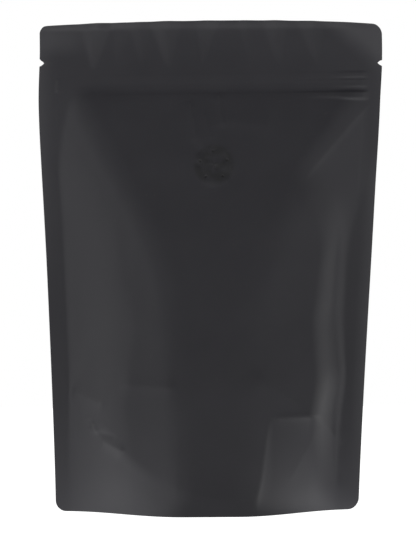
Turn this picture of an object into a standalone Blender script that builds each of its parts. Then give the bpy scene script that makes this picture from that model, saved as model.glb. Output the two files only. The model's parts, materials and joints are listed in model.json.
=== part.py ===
"""Stand-up zip pouch for coffee, filled and shut: metres, +Z up, front towards -Y.

The pouch is one heat-sealed piece: two film panels, flat seals down both sides, a press-to-close
zip band, a header with tear notches, and a folded base film that opens into a hollow foot.
The degassing valve is a second piece, a low round button in a shallow seat of the front panel.
The origin is the middle of the footprint, on the surface that the pouch stands on.
"""

import math

import bmesh
import bpy
import numpy as np
from mathutils import Matrix, Vector

# ---- Driving sizes -------------------------------------------------------------------------------
WIDTH = 0.1606  # across the side seals, at the zip
FOOT_WIDTH = 0.1417  # across the side seals, at the bottom: the filling pulls them in
HEIGHT = 0.2268  # top corners above the ground
KNEE = 0.192  # below this height the sides lean in
LEAN = 0.0030  # how far the top leans to one side
SEAL = 0.0086  # width of a side seal
SEAL_HALF = 0.00035  # half the thickness of the sealed edge
WALL = 0.0006  # a sealed double film, as at the hem

HEADER_BOW = 0.0021  # the top edge is higher in the middle
HEADER_SLOPE = 0.0008  # and higher on the right
HEADER_FORWARD = 0.0035  # the zip line bows to the front
HEADER_BACK = 0.8  # share of that bow which the header gives back by its top edge
TOP_CORNERS = (0.0030, 0.0046)  # left and right radius
FOOT_CORNER = 0.0050
CORNER_TRIM = 0.0001  # the corner die also takes this much off the edges where its arc ends

ZIP_LOW, ZIP_TOP = 0.1955, 0.2065
ZIP_SLANT = 0.0084  # the zip climbs this much per metre to the right
ZIP_LIP = 0.0006  # the film stands proud under the zip, most at the right end
ZIP_BAND = 0.0003

NOTCH_Z = (0.2107, 0.2089)  # left and right
NOTCH_DEPTH = 0.0022
NOTCH_MOUTH = 0.0026
NOTCH_TIP = 0.0006  # radius

SEAL_FOOT = 0.007  # base seal above the ground, mid-front
SEAL_SIDE = 0.053  # and at the side seals
SEAL_REACH = 0.0635
SEAL_CURVE = 1.7
BASE_FOLD = 0.0035  # the crease along the middle of the base film stands this much higher

VALVE_X, VALVE_Z = 0.0015, 0.1610
VALVE_RADIUS = 0.0095
VALVE_GAP = 0.0003
VALVE_SEAT = 0.0010  # depth of the seat under the film's surface
VENT_COUNT = 5
VENT_RADIUS = 0.0005
VENT_CIRCLE = 0.0066

# Each panel; pairs are left and right. Slopes are depth per metre, depths are ahead of the side seals.
FRONT = {
    "v_slope": 0.255,  # the flat triangle under the zip
    "ridge": 0.0235,  # depth of the middle column at RIDGE_Z
    "ridge_slope": (0.075, 0.050),  # of the column above and below BELLY_Z
    "inner": (0.33, 0.28),  # the facets beside the column
    "inner_low": (0.32, 0.26),
    "inner_from": (0.014, 0.016),
    "sink": (0.02, 0.0),
    "steep": ((0.50, 0.80, 0.98), (0.38, 1.45, 1.75)),  # the flanks: high, halfway down, low
    "late": (1.0, 1.5),  # above 1, the upper flank holds its slope further down
    "flare": (0.55, 0.22),  # the film runs out flatter next to the seal
    "flare_width": (0.0038, 0.0042),
    "nip": (0.0, 0.0028),  # and is drawn in over the foot
    "fold_high": 0.0455,  # the turned-in block over the right foot
    "fold_from": (0.022, 0.030),
    "hem_start": (0.010, 0.014),  # where the hem leaves its front line
    "hem_end": (0.068, 0.068),  # and where it meets the side seal
    "hem": 0.0295,
}
BACK = {
    "v_slope": 0.255,
    "ridge": 0.0235,
    "ridge_slope": (0.075, 0.050),
    "inner": (0.30, 0.32),
    "inner_low": (0.28, 0.32),
    "inner_from": (0.015, 0.014),
    "sink": (0.01, 0.02),
    "steep": ((0.50, 0.85, 1.10), (0.50, 0.90, 1.10)),
    "late": (1.0, 1.5),
    "flare": (0.50, 0.50),
    "flare_width": (0.0015, 0.0015),
    "nip": (0.0, 0.0),
    "fold_high": 0.036,
    "fold_from": (0.016, 0.028),
    "hem_start": (0.021, 0.019),
    "hem_end": (0.056, 0.060),
    "hem": 0.0300,
}
RIDGE_Z = 0.105
BELLY_Z = 0.058  # the filling stands widest here
SAG = 0.0020  # how far the filling swells out between the two

# The top right corner curls to the front past a line from (x, z) to (x, z).
CURL_LINE = ((0.0573, 0.2274), (0.0765, 0.2099))
CURL_ANGLE = math.radians(26)
CURL_SOFT = 0.005  # how gently it begins

# The larger flutes of the header, in millimetres: place at the foot, place at the head, width of the
# left and right flanks, height.
FLUTES = (
    (-54.5, -52.5, 10.0, 9.0, 2.50),
    (-19.5, -20.5, 9.0, 9.0, 1.80),
    (32.5, 31.0, 8.0, 7.0, 1.30),
    (50.5, 47.5, 8.0, 7.0, 1.10),
)

PANEL_COLUMNS = 36
BODY_ROW_STEP = 0.006
FOOT_ROW_STEP = 0.004


# ---- The pouch's form ----------------------------------------------------------------------------
def smooth_min(a, b, radius):
    """The smaller of two heights, rounded off where they cross."""
    share = np.clip(0.5 + 0.5 * (b - a) / radius, 0, 1)
    return b * (1 - share) + a * share - radius * share * (1 - share)


def ease(low, high, value):
    """0 below low, 1 above high, and a smooth rise between."""
    t = np.clip((value - low) / (high - low), 0, 1)
    return t * t * (3 - 2 * t)


def half_width(z):
    """Half the width across the side seals at a height."""
    rise = np.clip(z / KNEE, 0, 2) ** 1.2
    leaning = (FOOT_WIDTH + (WIDTH - FOOT_WIDTH) * rise) / 2
    return smooth_min(leaning, WIDTH / 2, 0.0012)


def centre_line(z):
    """The line halfway between the side seals: it leans, and bends a little at the zip."""
    lean = LEAN * (np.clip(z, 0, HEIGHT) / HEIGHT - 0.85)
    return lean - 0.00035 * ease(0.11, 0.18, z) + 0.00075 * ease(0.190, 0.218, z)


def top_edge(x):
    """Height of the cut top edge."""
    across = x / (WIDTH / 2)
    return HEIGHT + HEADER_BOW * (1 - across**2) + HEADER_SLOPE * across / 2


def seal_line(x):
    """Height at which the base film leaves the panels: low in the middle, high at the side seals."""
    return SEAL_FOOT + (SEAL_SIDE - SEAL_FOOT) * (np.abs(x) / SEAL_REACH) ** SEAL_CURVE


def of_side(pair, x):
    """Left or right value of a pair, changing over quickly in the middle."""
    share = ease(-0.004, 0.004, x)
    return pair[0] * (1 - share) + pair[1] * share


def hem_depth(x, panel):
    start = of_side(panel["hem_start"], x)
    t = np.clip((np.abs(x) - start) / (of_side(panel["hem_end"], x) - start), 0, 1)
    return panel["hem"] * np.cos(math.pi / 2 * t) ** 2


def full_depth(x, z, panel):
    """The filled body, without the tuck at its foot."""
    triangle = panel["v_slope"] * (ZIP_LOW + 0.002 - z)
    below = -smooth_min(z - BELLY_Z, 0.0, 0.016)
    high_slope, low_slope = panel["ridge_slope"]
    ridge = panel["ridge"] + high_slope * (RIDGE_Z - z) - (high_slope - low_slope) * below
    ridge = ridge + SAG * ease(0.100, 0.050, z)
    middle = smooth_min(triangle, ridge, 0.006)
    low = ease(0.065, 0.025, z)
    slope = of_side(panel["inner"], x) * (1 - low) + of_side(panel["inner_low"], x) * low
    aside = np.abs(x) - of_side(panel["inner_from"], x)
    sink = of_side(panel["sink"], x) * below * (1 - np.exp(-np.clip(aside, 0, None) / 0.006))
    inner = ridge - slope * aside - sink
    waist = ease(0.165, 0.115, z)
    left, right = panel["steep"]
    steep = [of_side(pair, x) for pair in zip(left, right)]
    turned = waist ** of_side(panel["late"], x)
    foot = ease(0.095, 0.050, z)
    steep = steep[0] * (1 - turned) + turned * (steep[1] * (1 - foot) + steep[2] * foot)
    room = half_width(z) - SEAL - np.abs(x)
    flare_width = of_side(panel["flare_width"], x) * waist * ease(0.045, 0.095, z)
    flare_width = flare_width + of_side(panel["nip"], x) * ease(0.068, 0.040, z)
    outer = -smooth_min(-steep * (room - flare_width), -of_side(panel["flare"], x) * room, 0.0016)
    soft = 0.0022 + 0.0028 * ease(0.165, 0.125, z)
    return smooth_min(smooth_min(middle, inner, 0.0025), outer, soft)


def fold_height(x, panel):
    """Where the panel turns in to its hem."""
    low, high = panel["fold_from"]
    right = 0.008 + (panel["fold_high"] - 0.008) * ease(low, high, x)
    return of_side((seal_line(x) + 0.003, right), x)


def panel_depth(x, z, panel):
    """Depth of a panel ahead of the side seals."""
    fold = fold_height(x, panel)
    body = full_depth(x, z, panel)
    hem = hem_depth(x, panel) + 0.0005
    tuck = hem + (full_depth(x, fold, panel) - hem) * np.clip(z / fold, 0, 1) ** 0.95
    soft = of_side((0.008, 0.0025 + 0.006 * ease(0.031, 0.025, x)), x)
    blend = ease(fold + soft, fold - soft, z)
    body = body * (1 - blend) + tuck * blend
    return -smooth_min(-body, 0.0, 0.0006)


def beyond(x, z, start, end):
    """How far a point lies to the right of a line from start to end, and where along it (0 to 1)."""
    run = (end[0] - start[0], end[1] - start[1])
    length = math.hypot(*run)
    along = ((x - start[0]) * run[0] + (z - start[1]) * run[1]) / length**2
    return (-(z - start[1]) * run[0] + (x - start[0]) * run[1]) / length, along


def zip_relief(x, z):
    """The closed zip, pressed through the film: a lip under a step, and a low band above it."""
    end, tip = ease(0.030, 0.064, x), ease(0.056, 0.067, x)
    fade = ease(0.0755, 0.0705, abs(x)) * (0.25 + 0.75 * ease(-0.055, -0.035, x))
    lip = ease(0.1958 + 0.0006 * end, 0.1947, z) * ease(0.1848, 0.1944, z) ** (1 - 0.5 * end)
    band = ease(0.1970, 0.1986, z) * ease(0.2054, 0.2038, z)
    lip_share = 0.10 + 0.55 * end + 0.35 * tip
    band_share = 0.10 + 0.10 * end + 0.80 * tip
    return fade * (ZIP_LIP * lip_share * lip + ZIP_BAND * band_share * band)


def header_flutes(x, z):
    """Soft flutes that open from the zip towards the free top edge."""
    total = 0.0
    rise = np.clip((z - ZIP_TOP - 0.001) / 0.0215, 0, 1.1)
    for foot, head, left, right, height in FLUTES:
        side = (x * 1000 - foot - (head - foot) * rise) / (0.15 + 0.85 * rise)
        total += height / 1000 * rise * ease(-left, 0, side) * ease(right, 0, side)
    return total


def curled(x, z):
    """How far a point lies beyond the curl line, softened where the curl begins."""
    return -smooth_min(beyond(x, z, *CURL_LINE)[0], 0.0, CURL_SOFT)


def middle_plane(x, z):
    """Where the two panels meet; negative is to the front."""
    across = x / (WIDTH / 2)
    bow = ease(0.11, 0.20, z) - HEADER_BACK * ease(0.190, 0.225, z)
    y = -HEADER_FORWARD * (1 - across**2) * bow
    room = np.clip((np.abs(x) - half_width(z) + SEAL) / SEAL, 0, 1)
    y += of_side((0.0002 + 0.0012 * ease(0.06, 0.17, z), 0.0013), x) * room**2
    y -= math.sin(CURL_ANGLE) * curled(x, z)
    y -= 0.0030 * ease(-0.050, -0.078, x) * ease(0.212, 0.230, z)
    return y - header_flutes(x, z)


def drawn_in(x, z):
    """The curled corner also comes in towards its line, because film doesn't stretch."""
    short = (1 - math.cos(CURL_ANGLE)) * curled(x, z)
    run = [b - a for a, b in zip(*CURL_LINE)]
    return short * run[1] / math.hypot(*run), -short * run[0] / math.hypot(*run)


def panel_y(x, z, side):
    """The outside of the front panel (side -1) or the back panel (side 1)."""
    panel = FRONT if side < 0 else BACK
    level = z - ZIP_SLANT * (x - 0.070)
    swell = SEAL_HALF + panel_depth(x, z, panel) + zip_relief(-side * x, level)
    return float(middle_plane(x, z) + side * swell)


def panel_normal(x, z, side):
    """Which way the outside of a panel faces."""
    reach = 0.004
    slope_x = (panel_y(x + reach, z, side) - panel_y(x - reach, z, side)) / (2 * reach)
    slope_z = (panel_y(x, z + reach, side) - panel_y(x, z - reach, side)) / (2 * reach)
    return Vector((-side * slope_x, side, -side * slope_z)).normalized()


# ---- Helpers -------------------------------------------------------------------------------------
def clear_scene():
    for old in list(bpy.data.objects):
        bpy.data.objects.remove(old, do_unlink=True)


def new_collection(name):
    made = bpy.data.collections.new(name)
    bpy.context.scene.collection.children.link(made)
    return made


def matt_film(name, colour, roughness):
    made = bpy.data.materials.new(name)
    made.use_nodes = True
    shader = made.node_tree.nodes["Principled BSDF"]
    shader.inputs["Base Color"].default_value = (*colour, 1)
    shader.inputs["Roughness"].default_value = roughness
    shader.inputs["Metallic"].default_value = 0
    return made


def add_object(name, bm, collection, material=None):
    bmesh.ops.recalc_face_normals(bm, faces=bm.faces[:])
    mesh = bpy.data.meshes.new(name)
    bm.to_mesh(mesh)
    bm.free()
    made = bpy.data.objects.new(name, mesh)
    collection.objects.link(made)
    if material:
        mesh.materials.append(material)
        mesh.shade_smooth()
        mesh.set_sharp_from_angle(angle=math.radians(35))
    else:
        made.hide_render = True
        made.display_type = "WIRE"
    return made


def slab(columns, rows, place):
    """A grid of columns and rows given a second layer, then moved to place(column, row, layer)."""
    bm = bmesh.new()
    bmesh.ops.create_grid(bm, x_segments=len(columns) - 1, y_segments=len(rows) - 1, size=1)
    for vertex in bm.verts:
        vertex.co.x = round((vertex.co.x + 1) / 2 * (len(columns) - 1))
        vertex.co.y = round((vertex.co.y + 1) / 2 * (len(rows) - 1))
    raised = bmesh.ops.extrude_face_region(bm, geom=bm.faces[:])["geom"]
    for vertex in [v for v in raised if isinstance(v, bmesh.types.BMVert)]:
        vertex.co.z = 1
    for vertex in bm.verts:
        column, row = columns[int(vertex.co.x)], rows[int(vertex.co.y)]
        vertex.co = place(column, row, 1 if vertex.co.z > 0.5 else -1)
    bmesh.ops.remove_doubles(bm, verts=bm.verts[:], dist=1e-6)
    return bm


def prism(outline, half_length):
    """A flat outline of (x, z) points carried from front to back."""
    bm = bmesh.new()
    face = bm.faces.new([bm.verts.new((x, -half_length, z)) for x, z in outline])
    raised = bmesh.ops.extrude_face_region(bm, geom=[face])["geom"]
    moved = [v for v in raised if isinstance(v, bmesh.types.BMVert)]
    bmesh.ops.translate(bm, verts=moved, vec=(0, 2 * half_length, 0))
    return bm


def spread(low, high, step):
    """Even places from low up to, but not at, high."""
    count = max(1, round((high - low) / step))
    return [low + (high - low) * i / count for i in range(count)]


# ---- The pouch -----------------------------------------------------------------------------------
def column_marks():
    """-2 and 2 are the outer edges of the side seals, -1 and 1 their inner edges."""
    marks = [-2.0]
    for i in range(PANEL_COLUMNS + 1):
        t = 2 * i / PANEL_COLUMNS - 1
        marks.append(0.65 * t + 0.35 * math.sin(math.pi / 2 * t))
    return marks + [2.0]


def row_heights():
    rows = spread(0.0, 0.056, FOOT_ROW_STEP) + spread(0.056, 0.188, BODY_ROW_STEP)
    rows += spread(0.188, 0.1948, 0.0017) + [0.1948, 0.1954, 0.1960, 0.1966]
    rows += spread(0.1974, 0.1990, 0.0008) + spread(0.1990, 0.2036, 0.0023)
    rows += spread(0.2036, 0.2054, 0.0009)
    return rows + spread(0.2054, HEIGHT, 0.0043) + [HEIGHT]


def across(mark, z):
    """x of a column mark at a height, from the centre line."""
    inner = half_width(z) - SEAL
    if abs(mark) <= 1:
        return mark * inner
    return math.copysign(inner + (abs(mark) - 1) * SEAL, mark)


def pouch_point(mark, height, side):
    x = across(mark, height)
    z = height + ease(ZIP_TOP, HEIGHT, height) * (top_edge(x) - HEIGHT)
    z += ZIP_SLANT * (x - 0.070) * ease(0.170, 0.188, height) * ease(0.222, ZIP_TOP, height)
    aside, down = drawn_in(x, z)
    return (float(centre_line(height) + x + aside), panel_y(x, z, side), float(z + down))


def inside(x, z, side):
    """How far the inner face of a panel is from the middle, at the base hollow."""
    slope = (panel_y(x + 0.001, z, side) - panel_y(x - 0.001, z, side)) / 0.002
    return max(abs(panel_y(x, z, side)) - WALL * math.hypot(1, slope), 0.0002)


def base_point(x, step, layer):
    """The base hollow: steps 0 to 1 climb the front flap, 1 to 2 cross the base film, 2 to 3 descend.

    The lower layer lies flat under the pouch.
    """
    line = seal_line(x)
    side = -1 if step <= 1.5 else 1
    climb = min(step, 3 - step, 1)
    z = -0.001 + (line + 0.001) * climb
    near = {s: inside(x, max(z, 0), s) for s in (-1, 1)}
    if layer < 0:
        flat = {s: inside(x, 0, s) for s in (-1, 1)}
        share = min(max(step - 1, 0), 1)
        return (centre_line(0) + x, -flat[-1] + share * (flat[-1] + flat[1]), -0.001)
    if 1 < step < 2:
        share = step - 1
        fold = min(BASE_FOLD, 0.15 * (near[-1] + near[1]))
        z += fold * (1 - abs(2 * share - 1))
        return (centre_line(z) + x, -near[-1] + share * (near[-1] + near[1]), z)
    return (centre_line(z) + x, side * near[side], z)


def base_hollow(cutters):
    columns = [0.0575 * t for t in np.linspace(-1, 1, 31)]
    climb = [i / 6 for i in range(6)]
    steps = climb + [1 + i / 6 for i in range(7)] + [3 - t for t in reversed(climb)]
    add_object("cut_base", slab(columns, steps, base_point), cutters)


def corner_punches(cutters):
    """Round the four corners, as the die does."""
    for side in (-1, 1):
        for top in (True, False):
            radius = TOP_CORNERS[(side + 1) // 2] if top else FOOT_CORNER
            up = 1 if top else -1
            end = HEIGHT if top else 0.0
            z_edge = pouch_point(side * (2 - radius / SEAL), end, -1)[2] - up * CORNER_TRIM
            x_edge = pouch_point(side * 2, end - up * radius, -1)[0] - side * CORNER_TRIM
            outline = [(x_edge + side * 0.002, z_edge + up * 0.002)]
            outline.append((x_edge - side * radius, z_edge + up * 0.002))
            for i in range(7):
                angle = math.pi / 2 * (1 - i / 6)
                x = x_edge - side * radius * (1 - math.cos(angle))
                outline.append((x, z_edge - up * radius * (1 - math.sin(angle))))
            outline.append((x_edge + side * 0.002, z_edge - up * radius))
            name = f"cut_corner_{'top' if top else 'foot'}_{'right' if side > 0 else 'left'}"
            add_object(name, prism(outline, 0.03), cutters)


def notch_punches(cutters):
    """A small tear notch in each side seal: a flared mouth and a round tip."""
    for side, height in zip((-1, 1), NOTCH_Z):
        edge, _, z = pouch_point(side * 2, height, -1)
        tip = edge - side * (NOTCH_DEPTH - NOTCH_TIP)
        outline = [(edge + side * 0.001, z + NOTCH_MOUTH / 2 + 0.0003)]
        for i in range(7):
            angle = math.radians(60 - 20 * i)
            outline.append((tip - side * NOTCH_TIP * math.cos(angle), z + NOTCH_TIP * math.sin(angle)))
        outline.append((edge + side * 0.001, z - NOTCH_MOUTH / 2 - 0.0003))
        add_object(f"cut_notch_{'right' if side > 0 else 'left'}", prism(outline, 0.03), cutters)


def valve_frame():
    """The valve's axis leaves the front panel at a right angle."""
    x = VALVE_X - float(centre_line(VALVE_Z))
    normal = panel_normal(x, VALVE_Z, -1)
    place = Vector((VALVE_X, float(panel_y(x, VALVE_Z, -1)), VALVE_Z))
    return Matrix.Translation(place) @ normal.to_track_quat("Z", "Y").to_matrix().to_4x4()


def cylinder(radius, low, high, segments):
    bm = bmesh.new()
    bmesh.ops.create_cone(
        bm, cap_ends=True, segments=segments, radius1=radius, radius2=radius, depth=high - low
    )
    bmesh.ops.translate(bm, verts=bm.verts[:], vec=(0, 0, (low + high) / 2))
    return bm


def valve_seat(cutters):
    seat = add_object("cut_valve_seat", cylinder(VALVE_RADIUS + VALVE_GAP, -VALVE_SEAT, 0.004, 32), cutters)
    seat.matrix_world = valve_frame()


def cut(target, cutters):
    boolean = target.modifiers.new("cuts", "BOOLEAN")
    boolean.operation = "DIFFERENCE"
    boolean.operand_type = "COLLECTION"
    boolean.collection = cutters
    boolean.solver = "EXACT"


def make_pouch(parts):
    film = matt_film("black_film", (0.030, 0.030, 0.032), 0.45)
    cutters = new_collection("pouch_cutters")
    base_hollow(cutters)
    corner_punches(cutters)
    notch_punches(cutters)
    valve_seat(cutters)
    pouch = add_object("pouch", slab(column_marks(), row_heights(), pouch_point), parts, film)
    cut(pouch, cutters)


# ---- The valve -----------------------------------------------------------------------------------
def valve_profile():
    """(radius, height over the film) from the axis out and down: dished top, rim, side, underside."""
    top = [(0.0, 0.00029), (0.0030, 0.00029), (0.0062, 0.00035), (0.0078, 0.00035)]
    rim = [(0.0087, 0.00024), (VALVE_RADIUS, 0.0)]
    floor = VALVE_GAP - VALVE_SEAT
    return top + rim + [(VALVE_RADIUS, floor), (0.0, floor)]


def turned(name, profile, collection, material, steps):
    bm = bmesh.new()
    points = [bm.verts.new((radius, 0, height)) for radius, height in profile]
    for first, second in zip(points, points[1:]):
        bm.edges.new((first, second))
    made = add_object(name, bm, collection, material)
    screw = made.modifiers.new("turn", "SCREW")
    screw.steps = screw.render_steps = steps
    screw.use_merge_vertices = True
    screw.merge_threshold = 0.00001
    screw.use_smooth_shade = True
    return made


def make_valve(parts):
    plastic = matt_film("black_valve", (0.022, 0.022, 0.022), 0.5)
    cutters = new_collection("valve_cutters")
    valve = turned("valve", valve_profile(), parts, plastic, 40)
    valve.matrix_world = valve_frame()
    for i in range(VENT_COUNT):
        angle = math.radians(20 + 360 * i / VENT_COUNT)
        offset = Vector((VENT_CIRCLE * math.cos(angle), VENT_CIRCLE * math.sin(angle), 0))
        vent = add_object(f"cut_vent_{i}", cylinder(VENT_RADIUS, -0.0004, 0.002, 10), cutters)
        vent.matrix_world = valve_frame() @ Matrix.Translation(offset)
    cut(valve, cutters)


def main():
    clear_scene()
    parts = new_collection("zip_coffee_bag")
    make_pouch(parts)
    make_valve(parts)


main()
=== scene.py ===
# %% [markdown]
# # A stand-up zip pouch of coffee
#
# The object is a pouch of matt black laminated film, filled and shut. Every part of it is flat film
# before it is filled, so the lesson makes each panel the way a bag machine does: a flat sheet, welded
# along its sides, then pushed out by what is inside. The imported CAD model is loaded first, because it
# fixes where everything stands. The sheets made here take its place and keep its form.

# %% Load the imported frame
import json
import math

import bmesh
import bpy
import numpy as np
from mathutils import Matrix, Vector

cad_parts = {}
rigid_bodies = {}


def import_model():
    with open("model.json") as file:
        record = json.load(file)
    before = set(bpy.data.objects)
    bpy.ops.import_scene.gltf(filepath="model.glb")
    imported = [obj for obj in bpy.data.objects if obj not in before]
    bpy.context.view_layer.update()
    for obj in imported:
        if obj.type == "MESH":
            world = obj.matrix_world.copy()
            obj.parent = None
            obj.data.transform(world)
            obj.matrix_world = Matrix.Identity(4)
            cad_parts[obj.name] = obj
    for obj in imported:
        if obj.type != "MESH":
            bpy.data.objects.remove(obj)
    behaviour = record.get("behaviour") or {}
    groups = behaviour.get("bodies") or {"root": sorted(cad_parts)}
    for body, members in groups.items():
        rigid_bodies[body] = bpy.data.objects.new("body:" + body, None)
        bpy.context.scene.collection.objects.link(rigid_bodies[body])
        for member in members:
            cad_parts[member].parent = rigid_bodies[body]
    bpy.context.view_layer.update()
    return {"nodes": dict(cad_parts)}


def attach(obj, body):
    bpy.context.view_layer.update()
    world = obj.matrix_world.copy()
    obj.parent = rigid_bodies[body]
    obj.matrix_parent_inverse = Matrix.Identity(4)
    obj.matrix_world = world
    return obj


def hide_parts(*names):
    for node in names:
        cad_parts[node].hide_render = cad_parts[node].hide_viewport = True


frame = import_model()
print("nodes:", sorted(frame["nodes"]))

# %% [markdown]
# ## Sizes
#
# All sizes are real ones, in metres. The pouch stands with its front towards -Y. Across it, x is
# measured from a centre line that leans a little, because a filled pouch never stands quite straight.
# The filling also pulls the side seals in, so the foot is narrower than the zip.

# %% Sizes of the pouch
MM = 0.001
WIDTH = 0.1606  # across the side seals, at the zip
FOOT_WIDTH = 0.1417
HEIGHT = 0.2268  # top corners above the ground
KNEE = 0.192  # below this height the sides lean in
SIDE_CURVE = 1.2  # 1 for straight sides below the knee
LEAN, UPRIGHT = 0.0030, 0.85  # lean over the full height, and share of it where x is 0
SHOULDER_SHIFT, HEADER_SHIFT = -0.00035, 0.00075  # small steps of the centre line
SEAL = 0.0086  # width of a side seal
FILM = 0.00022  # thickness of one film
print("pouch", WIDTH / MM, "x", HEIGHT / MM, "mm, film", FILM / MM, "mm")

# %% Sizes of the header, the zip and the foot
HEADER_BOW = 0.0021  # the top edge is higher in the middle
HEADER_SLOPE = 0.0008
HEADER_FORWARD = 0.0035  # how far the middle bows to the front at the zip
HEADER_BACK = 0.8  # share of it that is taken back by the top edge
ZIP_LOW, ZIP_TOP = 0.1955, 0.2065
ZIP_SLANT = 0.0084  # the zip climbs this much per metre to the right
ZIP_LEVEL_X = 0.070  # and has the two heights above at this x
TOP_CORNERS, FOOT_CORNER = (0.0030, 0.0046), 0.0050  # left and right, then both at the foot
NOTCH_Z, NOTCH_DEPTH, NOTCH_MOUTH = (0.2107, 0.2089), 0.0022, 0.0026  # heights left and right
NOTCH_SHAPE = 0.55  # 1 for a plain V, less for a fuller notch

SEAL_FOOT = 0.007  # base seal above the ground, mid-front
SEAL_SIDE = 0.053  # and at the side seals
SEAL_REACH = 0.0635
SEAL_CURVE = 1.7
BASE_FOLD = 0.0035

VALVE_X, VALVE_Z = 0.0015, 0.1610
VALVE_PROUD, VALVE_TILT = 0.24, 10.0  # millimetres, and millimetres per metre to the lower right
PINHOLES, PINHOLE_RADIUS, PINHOLE_CIRCLE = 5, 0.00045, 0.0066
PINHOLE_TURN = 20  # degrees from the right to the first pinhole
print("zip band", round((ZIP_TOP - ZIP_LOW) / MM, 1), "mm high")

# %% [markdown]
# ## The outline
#
# Two small functions do most of the shaping in this lesson. `smooth_min` takes the lower of two
# surfaces and rounds the crossing, which is how two taut facets of film meet. `ease` is a soft step.
# Both work on whole arrays of numbers, so a sheet of a hundred thousand points is shaped at once.

# %% Rounded crossings and soft steps


def smooth_min(a, b, radius):
    """The smaller of two heights, rounded off where they cross."""
    share = np.clip(0.5 + 0.5 * (b - a) / radius, 0, 1)
    return b * (1 - share) + a * share - radius * share * (1 - share)


def ease(low, high, value):
    """0 below low, 1 above high, and a smooth rise between."""
    t = np.clip((value - low) / (high - low), 0, 1)
    return t * t * (3 - 2 * t)


print("halfway up a soft step:", ease(0.0, 1.0, 0.5))

# %% Outline of the pouch


def half_width(z):
    rise = np.clip(z / KNEE, 0, 2) ** SIDE_CURVE
    return smooth_min((FOOT_WIDTH + (WIDTH - FOOT_WIDTH) * rise) / 2, WIDTH / 2, 0.0012)


def centre_line(z):
    lean = LEAN * (np.clip(z, 0, HEIGHT) / HEIGHT - UPRIGHT)
    return lean + SHOULDER_SHIFT * ease(0.11, 0.18, z) + HEADER_SHIFT * ease(0.190, 0.218, z)


def top_edge(x):
    across = x / (WIDTH / 2)
    return HEIGHT + HEADER_BOW * (1 - across**2) + HEADER_SLOPE * across / 2


def seal_line(x):
    """Height at which the base film leaves the panels."""
    return SEAL_FOOT + (SEAL_SIDE - SEAL_FOOT) * (np.abs(x) / SEAL_REACH) ** SEAL_CURVE


print("width at the foot", round(float(2 * half_width(0.0)) / MM, 1), "mm")

# %% [markdown]
# ## The die cuts
#
# A die rounds the four corners and nips a tear notch into each side seal. A boolean could cut them,
# but the sheet is a grid whose outer columns can simply draw in where the die bit. That keeps clean
# rows of faces right up to the edge, and the film's thickness follows the cut by itself.

# %% Corners and tear notches


def corner_bite(radius, distance):
    """How far a round corner draws the edge in, at a distance from the end."""
    d = np.clip(radius - distance, 0, radius)
    return radius - np.sqrt(radius**2 - d**2)


def edge_bite(z, side):
    """How far the cut edge stands in from the full width; side is negative for the left."""
    nip = 1 - np.abs(z - np.where(side < 0, *NOTCH_Z)) / (NOTCH_MOUTH / 2)
    notch = NOTCH_DEPTH * np.clip(nip, 0, 1) ** NOTCH_SHAPE
    left, right = (corner_bite(radius, HEIGHT - z) for radius in TOP_CORNERS)
    return np.where(side < 0, left, right) + corner_bite(FOOT_CORNER, z) + notch


print("notch bites", round(float(edge_bite(NOTCH_Z[1], 1)) / MM, 2), "mm")

# %% [markdown]
# ## The form of the two panels
#
# A filled pouch isn't round. Film can't stretch, so it falls into flat facets: a triangle under the
# zip, a flat column down the middle, two facets on each side, and a tuck above the hem. Each facet is
# one plane, and the panel is the lowest of them everywhere. The numbers are slopes and depths, with
# the left and right value of each in a pair, because the filling never settles evenly.

# %% Facets of the panels
FRONT = {
    "v_slope": 0.255,
    "ridge": 0.0235,
    "ridge_slope": (0.075, 0.050),
    "inner": (0.33, 0.28),
    "inner_low": (0.32, 0.26),
    "sink": (0.02, 0.0),
    "inner_from": (0.014, 0.016),
    "steep": ((0.50, 0.80, 0.98), (0.38, 1.45, 1.75)),  # each side: above the waist, below it, foot
    "late": (1.0, 1.5),
    "flare": (0.55, 0.22),
    "flare_width": (0.0038, 0.0042),
    "turn_out": (0.0016, 0.0034),
    "nip": (0.0, 0.0028),
    "fold_high": 0.0455,
    "fold_from": (0.022, 0.030),
    "hem_start": (0.010, 0.014),
    "hem_end": (0.068, 0.068),
    "hem": 0.0295,
}
BACK = {
    "v_slope": 0.255,
    "ridge": 0.0235,
    "ridge_slope": (0.075, 0.050),
    "inner": (0.30, 0.32),
    "inner_low": (0.28, 0.32),
    "sink": (0.01, 0.02),
    "inner_from": (0.015, 0.014),
    "steep": ((0.50, 0.85, 1.10), (0.50, 0.90, 1.10)),
    "late": (1.0, 1.5),
    "flare": (0.50, 0.50),
    "flare_width": (0.0015, 0.0015),
    "turn_out": (0.0016, 0.0034),
    "nip": (0.0, 0.0),
    "fold_high": 0.036,
    "fold_from": (0.016, 0.028),
    "hem_start": (0.021, 0.019),
    "hem_end": (0.056, 0.060),
    "hem": 0.0300,
}
RIDGE_Z = 0.105
BELLY_Z = 0.058  # the filling stands widest here
SAG = 0.0020  # how far the filling swells out between the two
# Heights, from and to, over which one form gives way to the next.
SAG_RANGE = (0.100, 0.050)
LOW_RANGE = (0.065, 0.025)  # the inner facets take their low slopes
WAIST_RANGE = (0.165, 0.115)  # the outer facets steepen
FOOT_RANGE = (0.095, 0.050)  # and steepen once more
print("belly", round(FRONT["ridge"] / MM, 1), "mm ahead of the seals")

# %% Hem and filled body


def of_side(pair, x):
    """Left or right value of a pair, changing over quickly in the middle."""
    share = ease(-0.004, 0.004, x)
    return pair[0] * (1 - share) + pair[1] * share


def hem_depth(x, panel):
    start = of_side(panel["hem_start"], x)
    t = np.clip((np.abs(x) - start) / (of_side(panel["hem_end"], x) - start), 0, 1)
    return panel["hem"] * np.cos(math.pi / 2 * t) ** 2


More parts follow.
